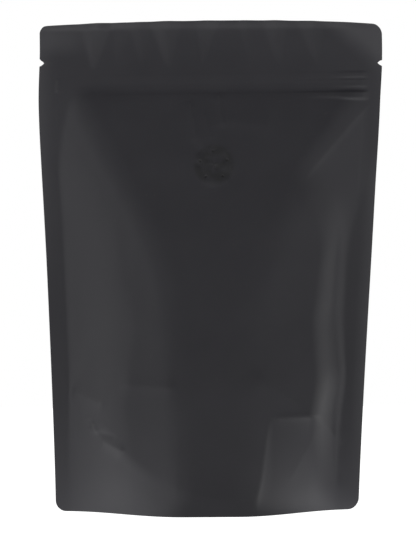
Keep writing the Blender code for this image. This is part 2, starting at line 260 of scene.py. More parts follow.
def full_depth(x, z, panel):
    """The filled body, without the tuck at its foot."""
    triangle = panel["v_slope"] * (ZIP_LOW + 0.002 - z)
    below = -smooth_min(z - BELLY_Z, 0.0, 0.016)
    high_slope, low_slope = panel["ridge_slope"]
    ridge = panel["ridge"] + high_slope * (RIDGE_Z - z) - (high_slope - low_slope) * below
    ridge = ridge + SAG * ease(*SAG_RANGE, z)
    middle = smooth_min(triangle, ridge, 0.006)
    low = ease(*LOW_RANGE, z)
    slope = of_side(panel["inner"], x) * (1 - low) + of_side(panel["inner_low"], x) * low
    aside = np.abs(x) - of_side(panel["inner_from"], x)
    sink = of_side(panel["sink"], x) * below * (1 - np.exp(-np.clip(aside, 0, None) / 0.006))
    inner = ridge - slope * aside - sink
    waist = ease(*WAIST_RANGE, z)
    left, right = panel["steep"]
    steep = [of_side(pair, x) for pair in zip(left, right)]
    turned = waist ** of_side(panel["late"], x)
    foot = ease(*FOOT_RANGE, z)
    steep = steep[0] * (1 - turned) + turned * (steep[1] * (1 - foot) + steep[2] * foot)
    room = half_width(z) - SEAL - np.abs(x)
    flare_width = of_side(panel["flare_width"], x) * waist * ease(0.045, 0.095, z)
    flare_width = flare_width + of_side(panel["nip"], x) * ease(0.068, 0.040, z)
    flared = of_side(panel["flare"], x) * room
    outer = -smooth_min(-steep * (room - flare_width), -flared, of_side(panel["turn_out"], x))
    soft = 0.0022 + 0.0028 * ease(0.165, 0.125, z)
    return smooth_min(smooth_min(middle, inner, 0.0025), outer, soft)


print("depth at the belly", round(float(full_depth(0.0, BELLY_Z, FRONT)) / MM, 1), "mm")

# %% The tuck at the foot


def fold_height(x, panel):
    """Where the panel turns in to its hem."""
    low, high = panel["fold_from"]
    right = 0.008 + (panel["fold_high"] - 0.008) * ease(low, high, x)
    return of_side((seal_line(x) + 0.003, right), x)


def panel_depth(x, z, panel):
    """Depth of a panel ahead of the side seals."""
    fold = fold_height(x, panel)
    body = full_depth(x, z, panel)
    hem = hem_depth(x, panel) + 0.0005
    tuck = hem + (full_depth(x, fold, panel) - hem) * np.clip(z / fold, 0, 1) ** 0.95
    soft = of_side((0.008, 0.0025 + 0.006 * ease(0.031, 0.025, x)), x)
    blend = ease(fold + soft, fold - soft, z)
    body = body * (1 - blend) + tuck * blend
    return -smooth_min(-body, 0.0, 0.0006)


print("hem stands out", round(float(panel_depth(0.0, 0.0, FRONT)) / MM, 1), "mm")

# %% [markdown]
# ## Header and side seals
#
# Above the zip the two films lie together and hang loose. They bow to the front at the zip and lean
# back again by the top edge, one corner curls over, and soft flutes open upwards from the zip. All of
# this moves both films, so it is one function for the plane they share.

# %% The plane between the panels
CURL_LINE = ((0.0573, 0.2274), (0.0765, 0.2099))
CURL_ANGLE = math.radians(26)
LEFT_CORNER_CURL = 0.0030  # the other corner comes to the front a little


def beyond(x, z, start, end):
    """How far a point lies to the right of a line from start to end, and where along it (0 to 1)."""
    run = (end[0] - start[0], end[1] - start[1])
    length = math.hypot(*run)
    along = ((x - start[0]) * run[0] + (z - start[1]) * run[1]) / length**2
    return (-(z - start[1]) * run[0] + (x - start[0]) * run[1]) / length, along


def curled(x, z):
    """How far a point lies beyond the curl line, softened where the curl begins."""
    return -smooth_min(beyond(x, z, *CURL_LINE)[0], 0.0, 0.005)


def middle_plane(x, z):
    """Where the two panels meet; negative is to the front."""
    across = x / (WIDTH / 2)
    y = -HEADER_FORWARD * (1 - across**2) * (ease(0.11, 0.20, z) - HEADER_BACK * ease(0.190, 0.225, z))
    room = np.clip((np.abs(x) - half_width(z) + SEAL) / SEAL, 0, 1)
    left_curl = 0.0002 + 0.0012 * ease(0.06, 0.17, z)
    right_curl = 0.0013 + 0.0014 * ease(0.17, 0.15, z)
    y = y + of_side((left_curl, right_curl), x) * room**2
    y = y - math.sin(CURL_ANGLE) * curled(x, z)
    y = y - LEFT_CORNER_CURL * ease(-0.050, -0.078, x) * ease(0.212, 0.230, z)
    lip = 0.0006 + 0.0008 * ease(-0.030, -0.060, x)
    return y - lip * ease(HEIGHT - 0.0024, HEIGHT + 0.002, z)


def drawn_in(x, z, place):
    """The curled corner also comes in towards its line, because film doesn't stretch."""
    short = (1 - math.cos(CURL_ANGLE)) * curled(x, z)
    run = [b - a for a, b in zip(*CURL_LINE)]
    return place + short * run[1] / math.hypot(*run), z - short * run[0] / math.hypot(*run)


print("corner curls", round(float(middle_plane(0.079, 0.226)) / MM, 1), "mm to the front")

# %% Flutes of the header
# Flutes of the header: foot (x, z), head (x, z), width of the left and right flanks, height; millimetres.
FLUTES = (
    (-54.5, 206.5, -52.5, 229.0, 10.0, 9.0, 2.50),
    (-43.5, 208.0, -41.5, 229.0, 5.0, 7.0, 0.55),
    (-31.5, 207.5, -33.0, 229.0, 6.0, 7.0, 0.80),
    (-19.5, 207.5, -20.5, 229.0, 9.0, 9.0, 1.80),
    (-3.5, 209.0, -1.5, 229.0, 6.0, 7.0, 0.90),
    (19.0, 209.0, 17.0, 229.0, 5.0, 6.0, 0.55),
    (32.5, 208.0, 31.0, 229.0, 8.0, 7.0, 1.30),
    (50.5, 208.0, 47.5, 229.0, 8.0, 7.0, 1.10),
)


def header_flutes(x, z):
    """Soft flutes that open from the zip towards the free top edge."""
    total = 0 * x
    for x0, z0, x1, z1, left, right, height in FLUTES:
        rise = np.clip((z / MM - z0) / (z1 - z0), 0, 1.1)
        side = (x / MM - x0 - (x1 - x0) * rise) / (0.15 + 0.85 * rise)
        total = total + height * MM * rise * ease(-left, 0, side) * ease(right, 0, side)
    return total


print(len(FLUTES), "flutes")

# %% [markdown]
# ## Zip, valve and seals under the film
#
# The zip and the valve are welded behind the film and show only as low relief. Under the zip the full
# panel stands a hair proud, which throws a fine dark line, and at the right end the zip was pinched
# shut last and the line is deepest. Relief is real geometry here, so it catches light from any side.

# %% The zip band
ZIP_END, ZIP_TIP = (0.030, 0.064), (0.056, 0.067)  # x over which the right end and its tip begin
# Heights of the zip's lines, from and to, in metres.
LIP_LOW, LIP_HIGH = (0.1848, 0.1944), (0.1958, 0.1947)
BAND_LOW, BAND_HIGH = (0.1970, 0.1986), (0.2054, 0.2038)
GROOVE_LOW, GROOVE_HIGH = (0.2007, 0.2014), (0.2025, 0.2018)
# How proud they stand, in millimetres: all along, more at the right end, more at its tip.
LIP_PROUD, BAND_PROUD = (0.06, 0.36, 0.28), (0.03, 0.03, 0.24)


def zip_relief(x, level):
    """A lip under a fine step, and a low band above it; both are sharpest at the right tip."""
    end, tip = ease(*ZIP_END, x), ease(*ZIP_TIP, x)
    fade = ease(0.0755, 0.0705, np.abs(x)) * (0.25 + 0.75 * ease(-0.055, -0.035, x))
    foot = 0.1930 - 0.0009 * tip
    lip = ease(LIP_HIGH[0] + 0.0006 * end, LIP_HIGH[1], level) * ease(*LIP_LOW, level) ** (1 - 0.5 * end)
    lip = lip * (1 - end * ease(foot + 0.0006, foot - 0.0012, level))
    band = ease(BAND_LOW[0], BAND_LOW[1] - 0.0003 * tip, level) * ease(*BAND_HIGH, level)
    band = band * (1 - 0.6 * end * ease(*GROOVE_HIGH, level) * ease(*GROOVE_LOW, level))
    lip_height, band_height = (a + b * end + c * tip for a, b, c in (LIP_PROUD, BAND_PROUD))
    return MM * fade * (lip_height * lip + band_height * band)


print("zip lip", round(float(zip_relief(0.066, 0.1948)) / MM, 2), "mm proud at the right")

# %% The valve's print and the pressed side seals
# Dents over the valve: right and up from its middle, reach, depth; millimetres.
VALVE_DENTS = (
    (-6.2, 6.2, 2.3, 0.30),
    (-7.2, 0.4, 1.7, 0.24),
    (-3.0, 2.8, 1.5, 0.16),
    (5.2, 3.0, 2.8, 0.36),
    (0.8, -1.4, 1.4, 0.14),
    (-3.6, -5.4, 1.9, 0.22),
    (5.8, -4.4, 2.4, 0.28),
    (0.8, 7.0, 1.8, 0.20),
    (-0.6, -8.2, 1.6, -0.10),
)


def valve_print(x, z):
    """The round valve body pushes the film out a little; its middle is dished."""
    radius = np.hypot(x - VALVE_X, z - VALVE_Z)
    lean = VALVE_PROUD + VALVE_TILT * (x - VALVE_X - z + VALVE_Z)
    uneven = 0.75 + 0.25 * np.sin(3 * np.arctan2(z - VALVE_Z, x - VALVE_X) + 0.4)
    total = lean * uneven * ease(0.0112, 0.0076, radius) - 0.10 * ease(0.0070, 0.0030, radius)
    for right, up, reach, depth in VALVE_DENTS:
        near = np.hypot(x - VALVE_X - right * MM, z - VALVE_Z - up * MM) / (reach * MM)
        total = total - depth * np.exp(-(near**2))
    return MM * total


def seal_print(x, z):
    """The seal bars press the side seals flat."""
    room = (np.abs(x) - half_width(z) + SEAL) / SEAL
    return -0.00004 * ease(-0.05, 0.15, room)


print("valve print", round(float(valve_print(VALVE_X + 0.0072, VALVE_Z)) / MM, 2), "mm")

# %% [markdown]
# ## Creases
#
# Film that is bent too far keeps a crease. Each one here is a line with two flanks, and its height
# falls off on both sides and towards its ends. Most lie at the foot, where the base film is welded in
# and the panels have to buckle. The wavy film between them is a few long, very low waves.

# %% Creases of the front and the back
# Creases of the front: from (x, z) to (x, z), width of their left and right flanks, height; millimetres.
FRONT_CREASES = (
    (45, 156, 73, 188, 5.0, 1.3, 0.32),
    (20, 64, 50, 42, 3.5, 7.0, 0.75),
    (48, 38, 36, 16, 2.0, 2.4, 0.22),
    (58.2, 41, 58.2, 13, 2.2, 3.0, -0.70),
    (-65, 56, -50, 50.5, 5.0, 4.0, 0.75),
    (-58, 44, -53, 37, 1.8, 1.4, 0.42),
    (-50.5, 34, -41, 29.5, 1.8, 3.4, 0.75),
    (-55.5, 42.0, -54, 37.5, 0.9, 0.8, 0.55),
    (-57.8, 43.5, -56.6, 39.5, 0.9, 0.8, -0.40),
    (-52, 43, -46, 38, 1.6, 2.2, 0.20),
    (-52.0, 37.5, -45, 35.5, 1.6, 1.2, -0.50),
    (51, 41, 60, 31, 2.4, 2.4, 0.45),
    (-41, 59.5, -17, 58.5, 5.5, 4.0, 0.70),
    (-9.5, 190, -6.5, 172, 3.2, 3.4, 0.34),
    (4.0, 194, 6.0, 179, 2.8, 3.0, 0.32),
    (8, 182, 28, 179, 9.0, 7.0, 0.36),
    (-3.0, 186, 0.5, 173, 1.6, 2.2, 0.10),
    (49, 45.5, 29, 44.5, 3.5, 1.3, 0.36),
    (-71.5, 196, -71.0, 202, 0.8, 0.9, 0.22),
)
BACK_CREASES = (
    (58, 160, 74, 186, 1.4, 1.8, 0.35),
    (-60, 150, -72, 178, 1.8, 1.4, 0.30),
    (-34, 66, -55, 44, 2.5, 5.0, 0.40),
    (22, 40, 44, 22, 2.2, 2.8, 0.35),
    (46, 52, 60, 44, 1.8, 2.4, 0.40),
    (-46, 30, -58, 40, 1.8, 1.8, 0.35),
    (-12, 188, -8, 168, 1.6, 2.0, 0.12),
    (14, 190, 11, 170, 1.4, 1.8, 0.12),
)
print(len(FRONT_CREASES), "creases in front,", len(BACK_CREASES), "behind")

# %% Crease and wave functions
WAVES, WAVE_HEIGHT = 9, 0.0011  # how many, and their height as a share of their length


def creases(x, z, lines):
    total = 0 * x
    for x0, z0, x1, z1, left, right, height in lines:
        side, along = beyond(x, z, (x0 * MM, z0 * MM), (x1 * MM, z1 * MM))
        reach = np.where(side > 0, right, left) * MM
        sharp = np.sqrt((side / reach) ** 2 + 0.06) - math.sqrt(0.06)
        ends = ease(-0.12, 0.15, along) * ease(1.12, 0.85, along)
        total = total + height * MM * ends * np.exp(-1.3 * sharp)
    return total


def film_waves(x, z, seed):
    """Long low waves, each in its own direction, that fade out in the side seals."""
    total = 0 * x
    for i in range(WAVES):
        turn = 2.4 * i + seed
        length = (9 + 4.3 * i) * MM
        wave = np.sin((x * math.cos(turn) + z * math.sin(turn)) * 2 * math.pi / length + 1.7 * i)
        total = total + WAVE_HEIGHT * length * wave
    room = (half_width(z) - SEAL - np.abs(x)) / 0.006
    return total * np.clip(room, 0.15, 1)


sample = film_waves(np.linspace(-0.05, 0.05, 99), 0.1, 0)
print("waves up to", round(float(np.abs(sample).max()) / MM, 2), "mm")

# %% [markdown]
# ## Laying out a sheet
#
# Each sheet starts as a flat grid of faces, made with `bmesh.ops.create_grid`. Its columns are spaced
# from one cut edge to the other, and its rows from the ground to the top edge, closer together where
# there is fine relief. One function then says where every point goes. The same pass measures how
# sharply the film bends and keeps that as an attribute called fold, which the film's material uses.

# %% Rows, columns and the sheet itself
FULL_FOLD = 300  # curvature, per metre, that counts as a full fold


def spaced(low, high, step, fine=()):
    """Places from low to high, a step apart, and closer where a (from, to, step) range asks for it."""
    places = [low]
    while places[-1] < high - 1e-6:
        here = min([step] + [s for a, b, s in fine if a - s <= places[-1] < b])
        places.append(min(places[-1] + here, high))
    return np.array(places)


def bend(points):
    """Curvature of a (row, column) grid of points, positive where the film is folded towards -Y."""
    x, y, z = points[..., 0], points[..., 1], points[..., 2]
    step_x, step_z = np.gradient(x, axis=1), np.gradient(z, axis=0)
    bend_x = np.gradient(np.gradient(y, axis=1) / step_x, axis=1) / step_x
    bend_z = np.gradient(np.gradient(y, axis=0) / step_z, axis=0) / step_z
    return bend_x + bend_z


def film_sheet(name, columns, rows, place, facing=1):
    """A grid of columns and rows, moved to place(column, row); facing is 1 or -1 for front or back."""
    bm = bmesh.new()
    bmesh.ops.create_grid(bm, x_segments=len(columns) - 1, y_segments=len(rows) - 1, size=1)
    mesh = bpy.data.meshes.new(name)
    bm.to_mesh(mesh)
    bm.free()
    flat = np.zeros(len(mesh.vertices) * 3)
    mesh.vertices.foreach_get("co", flat)
    flat = flat.reshape(-1, 3)
    column = np.rint((flat[:, 0] + 1) / 2 * (len(columns) - 1)).astype(int)
    row = np.rint((flat[:, 1] + 1) / 2 * (len(rows) - 1)).astype(int)
    grid_column, grid_row = np.meshgrid(columns, rows)
    points = np.stack(place(grid_column, grid_row), axis=2)
    mesh.vertices.foreach_set("co", points[row, column].ravel())
    fold = mesh.attributes.new("fold", "FLOAT", "POINT")
    folded = np.clip(facing * bend(points) / FULL_FOLD, -1, 1)
    fold.data.foreach_set("value", folded[row, column].ravel())
    if facing < 0:
        mesh.flip_normals()
    mesh.shade_smooth()
    made = bpy.data.objects.new(name, mesh)
    bpy.context.scene.collection.objects.link(made)
    return made


def thicken(sheet):
    """Give a sheet the thickness of the film, inwards."""
    solid = sheet.modifiers.new("film", "SOLIDIFY")
    solid.thickness = FILM
    solid.offset = -1
    solid.material_offset_rim = 1


print("a metre in 3 steps:", spaced(0.0, 1.0, 0.4))

# %% [markdown]
# ## Front and back panels
#
# Both panels use the same layout: columns marked 1 and -1 run along the inner edges of the side
# seals, and 2 and -2 along the cut edges. Creases, zip, waves and flutes are added on top of the filled
# form, and the valve's print on the front. The films part slightly along the free top edge.

# %% Where a point of a panel goes


def across(mark, z):
    inner = half_width(z) - SEAL
    seal = inner + (np.abs(mark) - 1) * (SEAL - edge_bite(z, mark))
    return np.where(np.abs(mark) <= 1, mark * inner, np.sign(mark) * seal)


def sheet_point(mark, height):
    x = across(mark, height)
    z = height + ease(ZIP_TOP, HEIGHT, height) * (top_edge(x) - HEIGHT)
    window = ease(0.170, 0.188, height) * ease(0.222, ZIP_TOP, height)
    return x, centre_line(height) + x, z + ZIP_SLANT * (x - ZIP_LEVEL_X) * window


def parting(mark, height):
    """The two films stand apart along the open top edge."""
    return 0.0004 * ease(ZIP_TOP + 0.004, HEIGHT, height) * ease(1.0, 0.9, np.abs(mark))


print("foot corner at", [round(float(v) / MM, 1) for v in sheet_point(np.array(2.0), np.array(0.0))[1:]])

# %% Front and back panels
# Where columns and rows lie closer together: from, to and step, in marks and in metres.
FINE_COLUMNS = ((-0.13, 0.16, 0.0030),)  # over the valve
FINE_ROWS = (
    (0.0, 0.0008, 0.0001),  # cut edge at the foot
    (0.152, 0.170, 0.00022),  # valve
    (0.1895, 0.2115, 0.0004),  # zip
    (0.2074, 0.2102, 0.0001),  # right tear notch
    (HEIGHT - 0.0008, HEIGHT, 0.0001),  # cut edge at the top
)


def front_place(mark, height):
    x, place, z = sheet_point(mark, height)
    level = z - ZIP_SLANT * (x - ZIP_LEVEL_X)
    relief = zip_relief(place, level) + creases(place, z, FRONT_CREASES) + film_waves(x, z, 0)
    relief = relief + valve_print(place, z) + seal_print(x, z) + parting(mark, height)
    y = middle_plane(x, z) - FILM - panel_depth(x, z, FRONT) - relief - header_flutes(place, z)
    place, z = drawn_in(x, z, place)
    return place, y, z


def back_place(mark, height):
    x, place, z = sheet_point(mark, height)
    level = z - ZIP_SLANT * (x - ZIP_LEVEL_X)
    relief = zip_relief(-place, level) + creases(place, z, BACK_CREASES) + film_waves(x, z, 3)
    relief = relief + seal_print(x, z) + parting(mark, height)
    y = middle_plane(x, z) + FILM + panel_depth(x, z, BACK) + relief - header_flutes(place, z)
    place, z = drawn_in(x, z, place)
    return place, y, z


marks = spaced(-2.0, 2.0, 0.0125, FINE_COLUMNS)
heights = spaced(0.0, HEIGHT, 0.0008, FINE_ROWS)
front = film_sheet("front_panel", marks, heights, front_place)
back = film_sheet("back_panel", marks, heights, back_place, facing=-1)
print("front panel:", len(front.data.vertices), "points")

# %% [markdown]
# ## Pinholes
#
# Five pinholes in the film let the gas out to the valve. The grid is fine enough there to open real
# holes: the points inside each one are deleted, and the ring of points around it is pulled onto a
# true circle. The film's thickness then gives each hole its wall.

# %% Open the pinholes


def open_hole(bm, x, z, radius):
    """Delete what lies inside a circle of the sheet, and make its rim round."""
    inside = [v for v in bm.verts if math.hypot(v.co.x - x, v.co.z - z) < radius]
    rim = {e.other_vert(v) for v in inside for e in v.link_edges} - set(inside)
    bmesh.ops.delete(bm, geom=inside, context="VERTS")
    ring = [v for v in bm.verts if v.is_boundary and math.hypot(v.co.x - x, v.co.z - z) < 2 * radius]
    for vertex in ring:
        away = Vector((vertex.co.x - x, 0, vertex.co.z - z)).normalized() * radius
        vertex.co.x, vertex.co.z = x + away.x, z + away.z
    return len(rim)


sheet = bmesh.new()
sheet.from_mesh(front.data)
for i in range(PINHOLES):
    angle = math.radians(PINHOLE_TURN + 360 / PINHOLES * i)
    hole = (VALVE_X + PINHOLE_CIRCLE * math.cos(angle), VALVE_Z + PINHOLE_CIRCLE * math.sin(angle))
    rim_count = open_hole(sheet, *hole, PINHOLE_RADIUS)
sheet.to_mesh(front.data)
sheet.free()
print(PINHOLES, "pinholes, about", rim_count, "points round each")

# %% [markdown]
# ## The base film
#
# The foot of a stand-up pouch is a third film. It is folded in between the panels, welded to them
# along a curve that is low in the middle and high at the sides, and it opens into a hollow foot when
# the pouch is filled. One sheet does it: up the inside of the front hem, across with a crease along
# the middle, and down the inside of the back hem.

# %% Base film
BASE_REACH = 0.0615  # half its length, between the side seals
BASE_ROOM = 0.0004  # between the inside of a panel and the base film
BASE_LEAST = 0.00012  # front and back half stay this far from the plane between the panels


def inner_face(x, z, panel):
    """Depth of the inside of a panel, with room for the base film."""
    slope = (panel_depth(x + MM, z, panel) - panel_depth(x - MM, z, panel)) / (2 * MM)
    return np.maximum(panel_depth(x, z, panel) - BASE_ROOM * np.hypot(1, slope), BASE_LEAST)


def base_place(mark, step):
    """Steps 0 to 1 climb the front hem, 1 to 2 cross over, and 2 to 3 go down the back hem.

    Behind a groove of the front panel the base film gives way by as much.
    """
    x = mark * BASE_REACH
    climb = np.clip(np.minimum(step, 3 - step), 0, 1)
    z = seal_line(x) * climb
    share = np.clip(step - 1, 0, 1)
    groove = np.minimum(creases(centre_line(z) + x, z, FRONT_CREASES), 0)
    front_y = np.minimum(-inner_face(x, z, FRONT) - groove, -BASE_LEAST)
    back_y = inner_face(x, z, BACK)
    crease = np.minimum(BASE_FOLD, 0.15 * (back_y - front_y))
    top = 1 - np.sqrt((2 * share - 1) ** 2 + 0.0004)
    y = front_y + (back_y - front_y) * share
    return centre_line(z) + x, y, z + crease * np.clip(top, 0, 1)


steps = spaced(0.0, 3.0, 0.04, [(0.95, 1.05, 0.01), (1.45, 1.55, 0.01), (1.95, 2.05, 0.01)])
base = film_sheet("base_film", spaced(-1.0, 1.0, 0.01), steps, base_place)
base.data.flip_normals()
print("base film:", len(base.data.vertices), "points, up to", round(float(seal_line(BASE_REACH)) / MM), "mm")

# %% [markdown]
# ## The valve body
#
# The degassing valve is a small moulded disc welded to the inside of the front film. Only its print
# and what shows through the pinholes can be seen. It is a turned profile, made with `bmesh.ops.spin`,
# and then laid against the inside of the film, so it can't poke through.

# %% Valve body
VALVE_PROFILE = (
    (0.0000, 0.10), (0.0030, 0.10), (0.0034, 0.34), (0.0052, 0.34), (0.0056, 0.10), (0.0076, 0.10),
    (0.0086, 0.06), (0.0096, 0.10), (0.0099, 0.30), (0.0099, 0.85), (0.0078, 1.10), (0.0000, 1.10),
)  # radius in metres, depth behind the film in millimetres


def front_film(x, z):
    """Where the outside of the front panel is, near the valve."""
    centred = x - centre_line(z)
    relief = valve_print(x, z) + creases(x, z, FRONT_CREASES) + film_waves(centred, z, 0)
    return middle_plane(centred, z) - FILM - panel_depth(centred, z, FRONT) - relief


def turned_valve(name):
    bm = bmesh.new()
    points = [bm.verts.new((radius, 0, depth * MM)) for radius, depth in VALVE_PROFILE]
    edges = [bm.edges.new(pair) for pair in zip(points, points[1:])]
    bmesh.ops.spin(bm, geom=points + edges, cent=(0, 0, 0), axis=(0, 0, 1), angle=math.tau, steps=72)
    bmesh.ops.remove_doubles(bm, verts=bm.verts[:], dist=1e-5)
    for vertex in bm.verts:
        x, z = VALVE_X + vertex.co.x, VALVE_Z + vertex.co.y
        vertex.co = (x, float(front_film(np.array(x), np.array(z))) + FILM + vertex.co.z, z)
    bmesh.ops.recalc_face_normals(bm, faces=bm.faces[:])
    mesh = bpy.data.meshes.new(name)
    bm.to_mesh(mesh)
    bm.free()
    mesh.shade_smooth()
    mesh.set_sharp_from_angle(angle=math.radians(35))
    made = bpy.data.objects.new(name, mesh)
    bpy.context.scene.collection.objects.link(made)
    return made


valve = turned_valve("valve_body")
print("valve body:", len(valve.data.polygons), "faces")

# %% [markdown]
# ## Shared finishes
#
# The finish is made of four effects, each a node group with named inputs and outputs. Grain is the
# fine tooth and cloudy unevenness of matt lacquer. Rub is where folds have been handled and the
# lacquer is polished. Dust is the pale bloom that settles on whatever faces up. The last one is
# painted shade: a darker, blotchy round patch in the film's colour over the valve.

# %% Helpers for node groups


def new_group(name, inputs, outputs):
    """An empty shader group with float sockets; inputs is a dict of name to value."""
    tree = bpy.data.node_groups.new(name, "ShaderNodeTree")
    for label, value in inputs.items():
        socket = tree.interface.new_socket(label, in_out="INPUT", socket_type="NodeSocketFloat")
        socket.default_value = value
    for label in outputs:
        tree.interface.new_socket(label, in_out="OUTPUT", socket_type="NodeSocketFloat")
    return tree, tree.nodes.new("NodeGroupInput"), tree.nodes.new("NodeGroupOutput")


def add_node(tree, kind, settings=(), **inputs):
    """A node with its settings and socket values; i0, i1 and so on are sockets by number.

    A value that is itself a socket is linked.
    """
    made = tree.nodes.new(kind)
    for label, value in dict(settings).items():
        setattr(made, label, value)
    for label, value in inputs.items():
        numbered = label[0] == "i" and label[1:].isdigit()
        socket = made.inputs[int(label[1:]) if numbered else label]
        if isinstance(value, bpy.types.NodeSocket):
            tree.links.new(value, socket)
        else:
            socket.default_value = value
    return made


def calc(tree, operation, a, b):
    return add_node(tree, "ShaderNodeMath", {"operation": operation}, i0=a, i1=b).outputs[0]


print("group helpers ready")

# %% Grain of the matt lacquer


def make_grain():
    sizes = {"Tooth": 3200.0, "Cloud": 55.0}
    tree, given, result = new_group("lacquer_grain", sizes, ["Grain", "Cloudiness"])
    place = add_node(tree, "ShaderNodeTexCoord").outputs["Object"]
    fine = add_node(tree, "ShaderNodeTexNoise", Vector=place, Scale=given.outputs["Tooth"], Detail=3.0)
    broad = add_node(tree, "ShaderNodeTexNoise", Vector=place, Scale=given.outputs["Cloud"], Detail=5.0)
    spread = add_node(tree, "ShaderNodeMapRange", i0=broad.outputs["Fac"], i1=0.3, i2=0.7)
    tree.links.new(fine.outputs["Fac"], result.inputs["Grain"])
    tree.links.new(spread.outputs["Result"], result.inputs["Cloudiness"])
    return tree


grain_group = make_grain()
print("group:", grain_group.name, [s.name for s in grain_group.interface.items_tree])

# %% Rub on the folds


def make_rub():
    """Reads the fold attribute, and breaks it up so that no edge is rubbed evenly."""
    tree, given, result = new_group("fold_rub", {"Start": 0.10, "Full": 0.60, "Patches": 180.0}, ["Rub"])
    fold = add_node(tree, "ShaderNodeAttribute", {"attribute_name": "fold"}).outputs["Fac"]
    raised = add_node(
        tree, "ShaderNodeMapRange", i0=fold, i1=given.outputs["Start"], i2=given.outputs["Full"]
    ).outputs["Result"]
    place = add_node(tree, "ShaderNodeTexCoord").outputs["Object"]
    noise = add_node(tree, "ShaderNodeTexNoise", Vector=place, Scale=given.outputs["Patches"], Detail=4.0)
    patches = add_node(tree, "ShaderNodeMapRange", i0=noise.outputs["Fac"], i1=0.38, i2=0.66)
    tree.links.new(calc(tree, "MULTIPLY", raised, patches.outputs["Result"]), result.inputs["Rub"])
    return tree


rub_group = make_rub()
print("group:", rub_group.name)

# %% Dust and fine scuffs


def make_dust():
    """Specks that gather where the surface faces up, and a few thin scuffs."""
    tree, given, result = new_group("settled_dust", {"Specks": 900.0, "Scuffs": 40.0}, ["Dust", "Scuff"])
    facing = add_node(tree, "ShaderNodeNewGeometry").outputs["Normal"]
    up = add_node(tree, "ShaderNodeSeparateXYZ", Vector=facing).outputs["Z"]
    above = add_node(tree, "ShaderNodeMapRange", i0=up, i1=-0.1, i2=0.7).outputs["Result"]
    place = add_node(tree, "ShaderNodeTexCoord").outputs["Object"]
    speck = add_node(tree, "ShaderNodeTexNoise", Vector=place, Scale=given.outputs["Specks"], Detail=2.0)
    speck = add_node(tree, "ShaderNodeMapRange", i0=speck.outputs["Fac"], i1=0.62, i2=0.76)
    tree.links.new(calc(tree, "MULTIPLY", above, speck.outputs["Result"]), result.inputs["Dust"])
    turned = add_node(tree, "ShaderNodeMapping", Vector=place, Rotation=(0, 0.6, 0), Scale=(1, 1, 0.06))
    drawn = turned.outputs["Vector"]
    line = add_node(tree, "ShaderNodeTexNoise", Vector=drawn, Scale=given.outputs["Scuffs"], Detail=6.0)
    line = add_node(tree, "ShaderNodeMapRange", i0=line.outputs["Fac"], i1=0.60, i2=0.72)
    tree.links.new(line.outputs["Result"], result.inputs["Scuff"])
    return tree


dust_group = make_dust()
print("group:", dust_group.name)

# %% Painted shade over the valve


def make_valve_painted_shade():
    """A blotchy round patch of painted shade on the front, over the valve; it darkens the film's colour."""
    tree, given, result = new_group("valve_painted_shade", {"Radius": 0.0094, "Patches": 260.0}, ["Worn"])
    place = add_node(tree, "ShaderNodeTexCoord").outputs["Object"]
    axes = add_node(tree, "ShaderNodeSeparateXYZ", Vector=place).outputs
    across = calc(tree, "SUBTRACT", axes["X"], VALVE_X)
    up = calc(tree, "SUBTRACT", axes["Z"], VALVE_Z)
    squares = calc(tree, "ADD", calc(tree, "MULTIPLY", across, across), calc(tree, "MULTIPLY", up, up))
    share = calc(tree, "DIVIDE", calc(tree, "SQRT", squares, 0.0), given.outputs["Radius"])
    round_patch = add_node(tree, "ShaderNodeMapRange", i0=share, i1=1.06, i2=0.90).outputs["Result"]
    in_front = add_node(tree, "ShaderNodeMapRange", i0=axes["Y"], i1=0.0, i2=-0.002).outputs["Result"]
    noise = add_node(tree, "ShaderNodeTexNoise", Vector=place, Scale=given.outputs["Patches"], Detail=3.0)
    blotches = add_node(tree, "ShaderNodeMapRange", i0=noise.outputs["Fac"], i1=0.36, i2=0.58, i3=0.15)
    painted_shade = calc(tree, "MULTIPLY", calc(tree, "MULTIPLY", round_patch, in_front), blotches.outputs["Result"])
    tree.links.new(painted_shade, result.inputs["Worn"])
    return tree


valve_painted_shade_group = make_valve_painted_shade()
print("group:", valve_painted_shade_group.name)

# %% [markdown]
# ## Film, cut edge and valve plastic
#
# The film is black with a matt lacquer: a dark base colour and a wide, even highlight. Grain lifts the
# roughness here and there, rubbed folds turn a shade paler and smoother, and dust does the opposite.
# The cut edge shows the pale layers of the laminate. The valve is plain moulded plastic.

# %% Matt black film
FILM_DARK, FILM_LIGHT = (0.0152, 0.0147, 0.0196, 1), (0.0176, 0.0170, 0.0222, 1)
# Painted shade: the darker film colour of the round patch over the valve.
PAINTED_SHADE_FILM = (0.0080, 0.0080, 0.0095, 1)
RUBBED_FILM = (0.034, 0.034, 0.035, 1)
DUST_COLOUR = (0.10, 0.098, 0.094, 1)
FILM_ROUGHNESS = 0.395
FILM_TOOTH, PLAIN_TOOTH = 0.00003, 0.00002  # how deep the fine tooth is, in metres


def blend_colours(tree, first, second, share):
    made = add_node(tree, "ShaderNodeMix", {"data_type": "RGBA"}, i0=share)
    for socket, value in ((made.inputs[6], first), (made.inputs[7], second)):
        if isinstance(value, bpy.types.NodeSocket):
            tree.links.new(value, socket)
        else:
            socket.default_value = value
    return made.outputs[2]


def group_node(tree, group, **inputs):
    return add_node(tree, "ShaderNodeGroup", {"node_tree": group}, **inputs)


def scaled(tree, value, factor, offset=0.0):
    return calc(tree, "ADD", calc(tree, "MULTIPLY", value, factor), offset)


